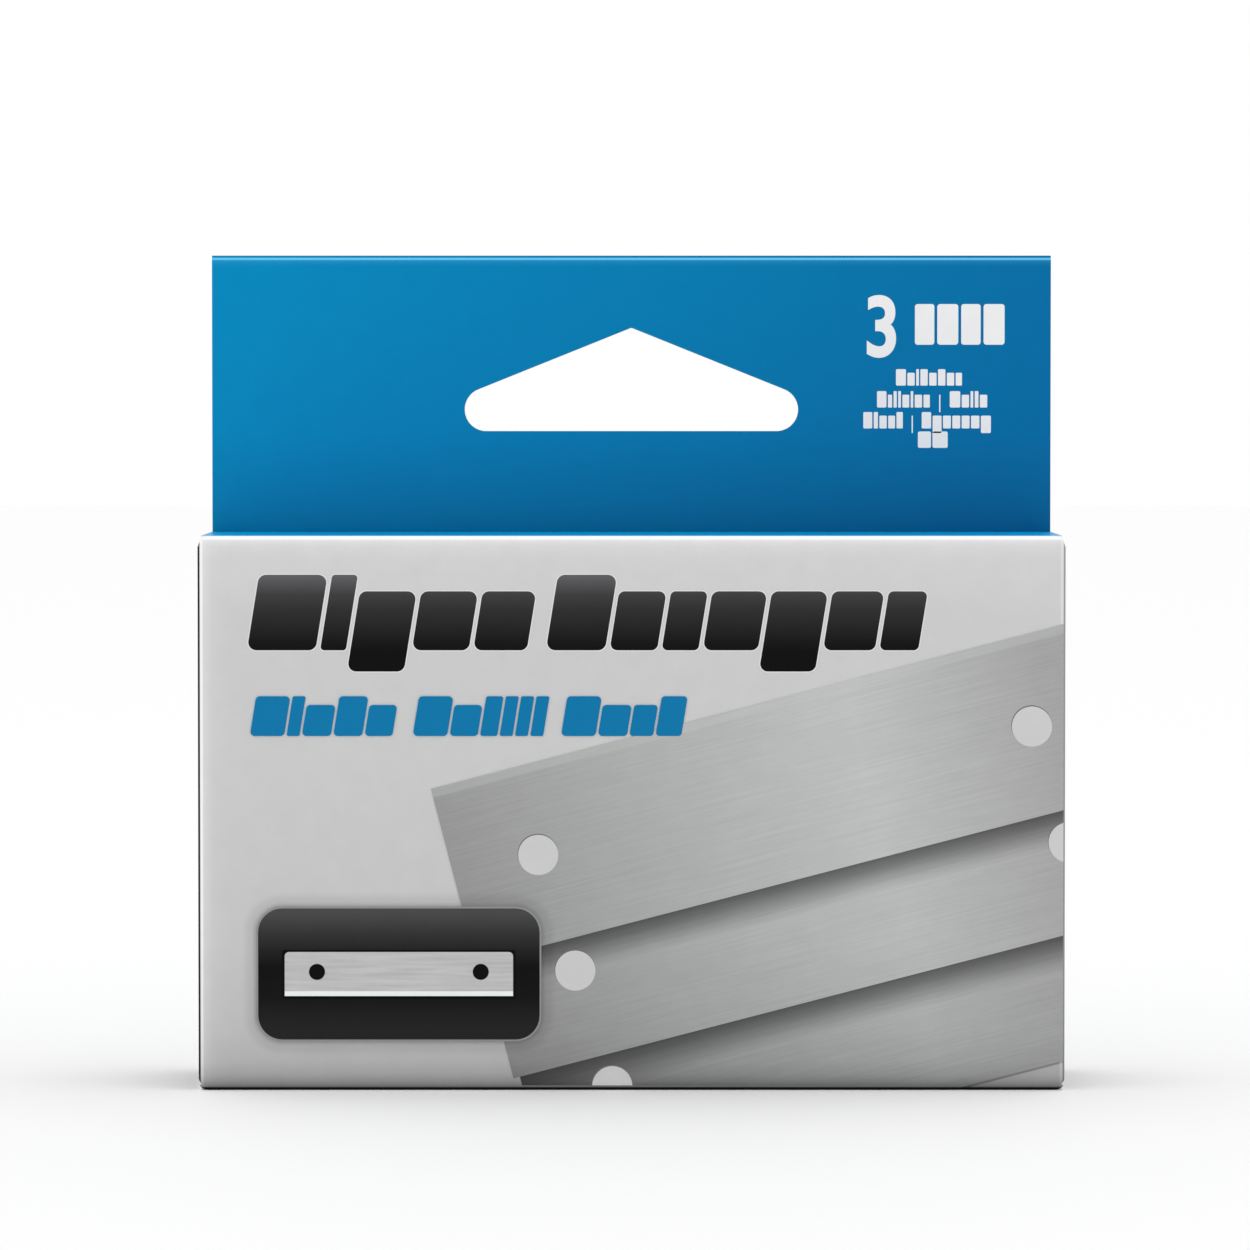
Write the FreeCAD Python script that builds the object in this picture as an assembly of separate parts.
import FreeCAD
import Part

import math
import os

V = FreeCAD.Vector

# A hanging retail carton with three spare scraper blades standing in it.
# Millimetres. X is to the right, Y towards the back panel, Z up.
# The origin is the centre of the base, on the surface that the carton stands on.

# ---- board, glue and carton ----
BOARD = 0.46                 # thickness of the carton board
GLUE = 0.10                  # thickness of a glued joint
SLIP = 0.04                  # gap between board faces that lie on each other
CARTON_W = 80.5
CARTON_D = 19.0
CARTON_H = 51.5
CREASE_R = 0.60              # outer radius of the upright creases
DIE_CORNER_R = 0.80          # die-cut corners of the front panel

# ---- header ----
HEADER_H = 26.3              # height of the header above the lid
HEADER_W = CARTON_W - 0.6
HOLE_W = 31.75               # delta hang hole, 1 1/4 inch wide
HOLE_H = 9.8
HOLE_END_R = 2.05
PEAK_R = 0.2                 # rounding of the hole's peak
HOLE_ABOVE_LID = 9.6         # from the lid's top face to the hole's flat edge
HEADER_GLUE_MARGIN = 2.5     # bare border around the header's glue

# ---- closing panels ----
LID_SIDE_GAP = 0.25          # lid edge to the side panel's outer face
LID_CORNER_R = 0.6           # beside the tuck crease
HINGE_GAP = 0.03             # lid to header ply, at the crease
TUCK_CLEARANCE = 0.15        # tuck flap to the front panel's inner face
TUCK_LENGTH = 11.0
TUCK_SIDE_GAP = 0.8          # tuck flap to the side panel's inner face
TUCK_CORNER_R = 4.5
TUCK_TILT = 6.0              # degrees that the tuck flap leans inwards
DUST_LENGTH = 12.0
DUST_HINGE_GAP = 0.6         # at the crease, from the lid's hinge axis
DUST_HINGE_SLOPE = 0.55      # taper of the edge beside the lid's hinge
DUST_TUCK_GAP = 0.55         # at the crease, from the tuck flap
DUST_TUCK_SLOPE = 0.36       # taper of the edge beside the tuck flap
DUST_CORNER_R = 1.2

# ---- seam ----
SEAM_W = 12.0
SEAM_END_INSET = 1.6         # from the side panel's ends
SEAM_TAPER = 3.0             # how much shorter its free edge is, at each end
SEAM_CORNER_R = 0.5
SEAM_GLUE_MARGIN = 1.5

# ---- blades and guards ----
BLADE_COUNT = 3
BLADE_L = 76.2               # 3 inches
BLADE_H = 20.05
BLADE_T = 0.40
BLADE_HOLE_R = 2.28
BLADE_HOLE_SPACING = 56.8
BEVEL_W = 1.05               # width of the ground edge
EDGE_T = 0.03                # thickness left at the cutting edge
GUARD_H = 8.4
GUARD_T = 1.7
GUARD_WALL = 0.60
GUARD_SPINE = 0.80
GUARD_ROUND = 0.45
GUARD_LIP = 0.22             # lead-in chamfer at the guard's mouth
GUARD_END_GAP = 0.4          # how much longer the guard is than the blade, at each end
EDGE_CLEARANCE = 0.10        # cutting edge to the guard's spine
STACK_GAP = 0.35             # between guards, and behind the last one

# ---- places worked out from the sizes above ----
HALF_D = CARTON_D / 2
BACK_OUT = CARTON_D / 2
BACK_IN = BACK_OUT - BOARD
FRONT_OUT = -CARTON_D / 2
FRONT_IN = FRONT_OUT + BOARD
WALL_IN = CARTON_W / 2 - BOARD
HEADER_TOP = CARTON_H + HEADER_H
FOLD_R = BOARD + GLUE / 2                       # outside of the header's rolled top
FOLD_Z = HEADER_TOP - FOLD_R
FOLD_Y = BACK_IN - GLUE / 2
PLY_FACE = BACK_IN - GLUE - BOARD               # front face of the header's front ply
PLY_BOTTOM = CARTON_H - BOARD
HOLE_Z = CARTON_H + HOLE_ABOVE_LID
SIDE_BOTTOM = 2 * BOARD + SLIP                  # lower dust flaps' crease axis
SIDE_TOP = CARTON_H - SIDE_BOTTOM               # upper dust flaps' crease axis
TOP_TUCK_Y = FRONT_IN + TUCK_CLEARANCE + BOARD  # upper tuck crease, behind the front panel
LOW_TUCK_Y = BACK_IN - TUCK_CLEARANCE - BOARD   # lower tuck crease, before the back panel
TUCK_HALF_W = WALL_IN - TUCK_SIDE_GAP
LID_HALF_W = CARTON_W / 2 - LID_SIDE_GAP
SEAM_OUT = WALL_IN - GLUE                       # outer face of the glue flap
GUARD_FLOOR = SIDE_BOTTOM + SLIP
BLADE_FLOOR = GUARD_FLOOR + GUARD_SPINE + EDGE_CLEARANCE
STACK_REAR = LOW_TUCK_Y - TUCK_LENGTH * math.sin(math.radians(TUCK_TILT)) - STACK_GAP
STACK_PITCH = GUARD_T + STACK_GAP


def closed_outline(corners):
    """A closed wire in the XY plane through corners of (x, y, radius), rounded by tangent arcs."""
    marks = []
    for i, (x, y, radius) in enumerate(corners):
        point = V(x, y, 0)
        if radius == 0:
            marks.append((point, None, point))
            continue
        before = corners[i - 1]
        after = corners[(i + 1) % len(corners)]
        back = (V(before[0], before[1], 0) - point).normalize()
        ahead = (V(after[0], after[1], 0) - point).normalize()
        half_angle = back.getAngle(ahead) / 2
        reach = radius / math.tan(half_angle)
        inward = V(back + ahead).normalize()
        middle = point + inward * (radius / math.sin(half_angle) - radius)
        marks.append((point + back * reach, middle, point + ahead * reach))
    edges = []
    for i, (start, middle, end) in enumerate(marks):
        if middle is not None:
            edges.append(Part.Arc(start, middle, end).toShape())
        following = marks[(i + 1) % len(marks)][0]
        if (following - end).Length > 1e-6:
            edges.append(Part.LineSegment(end, following).toShape())
    return Part.Wire(edges)


def slab(corners, thickness):
    """A flat piece on the XY plane, from z = 0 up to its thickness."""
    return Part.Face(closed_outline(corners)).extrude(V(0, 0, thickness))


def stand_up(shape, front_y, depth):
    """Turns a piece drawn flat in X and Y upright in X and Z, from y = front_y to front_y + depth."""
    upright = shape.copy()
    upright.rotate(V(0, 0, 0), V(1, 0, 0), 90)
    upright.translate(V(0, front_y + depth, 0))
    return upright


def block(x0, x1, y0, y1, z0, z1):
    return Part.makeBox(x1 - x0, y1 - y0, z1 - z0, V(x0, y0, z0))


def mirrored_across(shape):
    return shape.mirror(V(0, 0, 0), V(1, 0, 0))


def turned_over(shape):
    """A piece of the top closure as it stands in the bottom one, whose hinge is in front."""
    under = shape.copy()
    under.rotate(V(0, 0, CARTON_H / 2), V(1, 0, 0), 180)
    return under


def rounded_block(x0, x1, y0, y1, radius, z0, z1):
    corners = [(x0, y0, radius), (x1, y0, radius), (x1, y1, radius), (x0, y1, radius)]
    body = slab(corners, z1 - z0)
    body.translate(V(0, 0, z0))
    return body


def wall_tube(right, z0, z1):
    """Four walls with creased corners, as one tube out to x = right."""
    left = -CARTON_W / 2
    outer = rounded_block(left, right, FRONT_OUT, BACK_OUT, CREASE_R, z0, z1)
    inner = rounded_block(
        left + BOARD, right - BOARD, FRONT_IN, BACK_IN, CREASE_R - BOARD, z0, z1
    )
    return outer.cut(inner)


def mitred(tube, points, z0, z1):
    """The part of a wall tube inside an outline whose slanting sides halve its corners."""
    wedge = slab([(x, y, 0) for x, y in points], z1 - z0)
    wedge.translate(V(0, 0, z0))
    return tube.common(wedge)


def hang_hole(front_y, depth):
    """The delta hole: a flat lower edge, round ends and two slopes that meet at a peak."""
    centre_x = HOLE_W / 2 - HOLE_END_R
    rise = HOLE_H - HOLE_END_R
    slope = math.acos(HOLE_END_R / math.hypot(rise, centre_x)) - math.atan2(centre_x, rise)
    corner_x = HOLE_H / math.tan(slope)
    corners = [
        (-corner_x, HOLE_Z, HOLE_END_R),
        (corner_x, HOLE_Z, HOLE_END_R),
        (0, HOLE_Z + HOLE_H, PEAK_R),
    ]
    return stand_up(slab(corners, depth), front_y, depth)


def front_panel():
    """It ends below at the bottom lid's crease, and above in a die-cut edge."""
    half = CARTON_W / 2
    tube = wall_tube(half, BOARD, CARTON_H)
    wall = mitred(
        tube,
        [(-half, FRONT_OUT), (half, FRONT_OUT), (half - HALF_D, 0), (HALF_D - half, 0)],
        BOARD,
        CARTON_H,
    )
    die_line = slab(
        [
            (-half, BOARD, 0),
            (half, BOARD, 0),
            (half, CARTON_H, DIE_CORNER_R),
            (-half, CARTON_H, DIE_CORNER_R),
        ],
        HALF_D,
    )
    return wall.common(stand_up(die_line, FRONT_OUT, HALF_D))


def left_side_panel():
    half = CARTON_W / 2
    tube = wall_tube(half, SIDE_BOTTOM, SIDE_TOP)
    outline = [(-half, FRONT_OUT), (HALF_D - half, 0), (-half, BACK_OUT)]
    return mitred(tube, outline, SIDE_BOTTOM, SIDE_TOP)


def right_side_panel():
    """It covers the glue flap, so its rear edge is a cut one."""
    half = CARTON_W / 2
    tube = wall_tube(half, SIDE_BOTTOM, SIDE_TOP)
    outline = [(half, FRONT_OUT), (half, 0), (half - HALF_D, 0)]
    front_half = mitred(tube, outline, SIDE_BOTTOM, SIDE_TOP)
    rear_half = block(WALL_IN, half, 0, BACK_OUT, SIDE_BOTTOM, SIDE_TOP)
    return front_half.fuse(rear_half).removeSplitter()


def seam_outline(inset):
    """The glue flap's tapered outline in Y and Z, taken in by inset on its free sides."""
    free_y = BACK_OUT - SEAM_W + inset
    low = SIDE_BOTTOM + SEAM_END_INSET + inset
    high = SIDE_TOP - SEAM_END_INSET - inset
    return [
        (free_y, low + SEAM_TAPER, SEAM_CORNER_R),
        (BACK_OUT, low, 0),
        (BACK_OUT, high, 0),
        (free_y, high - SEAM_TAPER, SEAM_CORNER_R),
    ]


def across(shape, left_x):
    """Turns a piece drawn flat in X and Y so that it stands in Y and Z, rightwards of left_x."""
    turned = shape.copy()
    turned.rotate(V(0, 0, 0), V(1, 0, 0), 90)
    turned.rotate(V(0, 0, 0), V(0, 0, 1), 90)
    turned.translate(V(left_x, 0, 0))
    return turned


def glue_flap():
    tube = wall_tube(SEAM_OUT, SIDE_BOTTOM, SIDE_TOP)
    outline = [
        (SEAM_OUT, BACK_OUT),
        (SEAM_OUT - SEAM_W, BACK_OUT - SEAM_W),
        (SEAM_OUT, BACK_OUT - SEAM_W),
    ]
    wall = mitred(tube, outline, SIDE_BOTTOM, SIDE_TOP)
    return wall.common(across(slab(seam_outline(0), SEAM_W), SEAM_OUT - SEAM_W))


def seam_glue():
    film = across(slab(seam_outline(SEAM_GLUE_MARGIN), GLUE), SEAM_OUT)
    keep = block(0, CARTON_W, FRONT_OUT, BACK_IN - SEAM_GLUE_MARGIN, 0, CARTON_H)
    return film.common(keep)


def back_panel():
    """The back wall, and the header's rear ply above it, in one board."""
    left = -CARTON_W / 2
    tube = wall_tube(SEAM_OUT, 0, SIDE_TOP)
    outline = [(left, BACK_OUT), (left + HALF_D, 0), (SEAM_OUT - HALF_D, 0), (SEAM_OUT, BACK_OUT)]
    wall = mitred(tube, outline, 0, SIDE_TOP)
    header = block(-HEADER_W / 2, SEAM_OUT - CREASE_R, BACK_IN, BACK_OUT, SIDE_TOP, FOLD_Z)
    upper = block(-HEADER_W / 2, HEADER_W / 2, BACK_IN, BACK_OUT, CARTON_H - BOARD, FOLD_Z)
    board = wall.fuse([header, upper]).removeSplitter()
    return board.cut(hang_hole(BACK_IN - 1, BOARD + 2))


def header_front_ply():
    """The front ply, with the rolled fold that joins it to the rear ply."""
    ply = block(-HEADER_W / 2, HEADER_W / 2, PLY_FACE, PLY_FACE + BOARD, PLY_BOTTOM, FOLD_Z)
    start = V(-HEADER_W / 2, FOLD_Y, FOLD_Z)
    along = V(1, 0, 0)
    roll = Part.makeCylinder(FOLD_R, HEADER_W, start, along)
    roll = roll.cut(Part.makeCylinder(GLUE / 2, HEADER_W, start, along))
    upper = block(-HEADER_W, HEADER_W, 0, CARTON_D, FOLD_Z, HEADER_TOP + 1)
    ply = ply.fuse(roll.common(upper)).removeSplitter()
    return ply.cut(hang_hole(PLY_FACE - 1, BOARD + 1 + GLUE / 2))


def header_glue():
    margin = HEADER_GLUE_MARGIN
    half = HEADER_W / 2 - margin
    film = block(-half, half, BACK_IN - GLUE, BACK_IN, CARTON_H + margin, FOLD_Z - margin)
    keep_clear = block(
        -HOLE_W / 2 - margin,
        HOLE_W / 2 + margin,
        0,
        CARTON_D,
        HOLE_Z - margin,
        HOLE_Z + HOLE_H + margin,
    )
    return film.cut(keep_clear)


def lid_panel(hinge_y, tuck_y, low_z):
    """A closing panel from its hinge crease to its tuck crease."""
    lid = slab(
        [
            (-LID_HALF_W, tuck_y, LID_CORNER_R),
            (LID_HALF_W, tuck_y, LID_CORNER_R),
            (LID_HALF_W, hinge_y, 0),
            (-LID_HALF_W, hinge_y, 0),
        ],
        BOARD,
    )
    lid.translate(V(0, 0, low_z))
    return lid


def top_tuck_flap():
    """Its inner face holds the crease axis, and it leans inwards from the front panel."""
    top = CARTON_H - BOARD
    outline = [
        (-TUCK_HALF_W, top, 0),
        (-TUCK_HALF_W, top - TUCK_LENGTH, TUCK_CORNER_R),
        (TUCK_HALF_W, top - TUCK_LENGTH, TUCK_CORNER_R),
        (TUCK_HALF_W, top, 0),
    ]
    flap = stand_up(slab(outline, BOARD), TOP_TUCK_Y - BOARD, BOARD)
    flap.rotate(V(0, TOP_TUCK_Y, top), V(1, 0, 0), TUCK_TILT)
    return flap


def dust_flap(hinge_y, tuck_y):
    """A left dust flap as it lies under the top lid, tapered on both edges."""
    rear = hinge_y - DUST_HINGE_GAP
    front = tuck_y + DUST_TUCK_GAP
    free_x = DUST_LENGTH - WALL_IN
    flap = slab(
        [
            (-WALL_IN, front, 0),
            (free_x, front + DUST_LENGTH * DUST_TUCK_SLOPE, DUST_CORNER_R),
            (free_x, rear - DUST_LENGTH * DUST_HINGE_SLOPE, DUST_CORNER_R),
            (-WALL_IN, rear, 0),
        ],
        BOARD,
    )
    flap.translate(V(0, 0, SIDE_TOP))
    return flap


def blade(mid_y):
    """A flat steel blade standing on its ground edge, with two mounting holes."""
    rear = BLADE_T / 2
    profile = [
        (rear, 0),
        (rear, BLADE_H),
        (-rear, BLADE_H),
        (-rear, BEVEL_W),
        (rear - EDGE_T, 0),
    ]
    points = [V(-BLADE_L / 2, mid_y + y, BLADE_FLOOR + z) for y, z in profile]
    body = Part.Face(Part.makePolygon(points + points[:1])).extrude(V(BLADE_L, 0, 0))
    for side in (-1, 1):
        start = V(side * BLADE_HOLE_SPACING / 2, mid_y - 1, BLADE_FLOOR + BLADE_H / 2)
        body = body.cut(Part.makeCylinder(BLADE_HOLE_R, 2, start, V(0, 1, 0)))
    return body


def blade_guard(mid_y):
    """A channel with a round spine and chamfered lips, pushed over the cutting edge."""
    half = GUARD_T / 2
    slot = half - GUARD_WALL
    length = BLADE_L + 2 * GUARD_END_GAP
    corners = [
        (-half, 0, GUARD_ROUND),
        (half, 0, GUARD_ROUND),
        (half, GUARD_H, 0.15),
        (slot + GUARD_LIP, GUARD_H, 0),
        (slot, GUARD_H - GUARD_LIP * 2, 0),
        (slot, GUARD_SPINE, 0),
        (-slot, GUARD_SPINE, 0),
        (-slot, GUARD_H - GUARD_LIP * 2, 0),
        (-slot - GUARD_LIP, GUARD_H, 0),
        (-half, GUARD_H, 0.15),
    ]
    channel = slab(corners, length)
    channel.rotate(V(0, 0, 0), V(1, 0, 0), 90)
    channel.rotate(V(0, 0, 0), V(0, 0, 1), 90)
    channel.translate(V(-length / 2, mid_y, GUARD_FLOOR))
    return channel


def all_parts():
    top_dust = dust_flap(PLY_FACE, TOP_TUCK_Y)
    low_dust = turned_over(dust_flap(-FRONT_IN, -LOW_TUCK_Y))
    top_tuck = top_tuck_flap()
    parts = {
        "back_panel": back_panel(),
        "header_front_ply": header_front_ply(),
        "header_glue_film": header_glue(),
        "front_panel": front_panel(),
        "left_side_panel": left_side_panel(),
        "right_side_panel": right_side_panel(),
        "glue_flap": glue_flap(),
        "seam_glue_film": seam_glue(),
        "top_lid": lid_panel(PLY_FACE - HINGE_GAP, TOP_TUCK_Y, CARTON_H - BOARD),
        "top_tuck_flap": top_tuck,
        "top_dust_flap_left": top_dust,
        "top_dust_flap_right": mirrored_across(top_dust),
        "bottom_lid": turned_over(lid_panel(-FRONT_IN, -LOW_TUCK_Y, CARTON_H - BOARD)),
        "bottom_tuck_flap": turned_over(top_tuck),
        "bottom_dust_flap_left": low_dust,
        "bottom_dust_flap_right": mirrored_across(low_dust),
    }
    for number in range(1, BLADE_COUNT + 1):
        mid_y = STACK_REAR - GUARD_T / 2 - (number - 1) * STACK_PITCH
        parts[f"blade_{number}"] = blade(mid_y)
        parts[f"blade_guard_{number}"] = blade_guard(mid_y)
    return parts


os.makedirs("parts", exist_ok=True)
for name, shape in all_parts().items():
    solids = shape.Solids
    piece = solids[0] if len(solids) == 1 else Part.makeCompound(solids)
    print(f"{name}: {len(solids)} solid(s), {shape.Volume:.1f} mm3, valid {piece.isValid()}")
    piece.exportStep(f"parts/{name}.step")
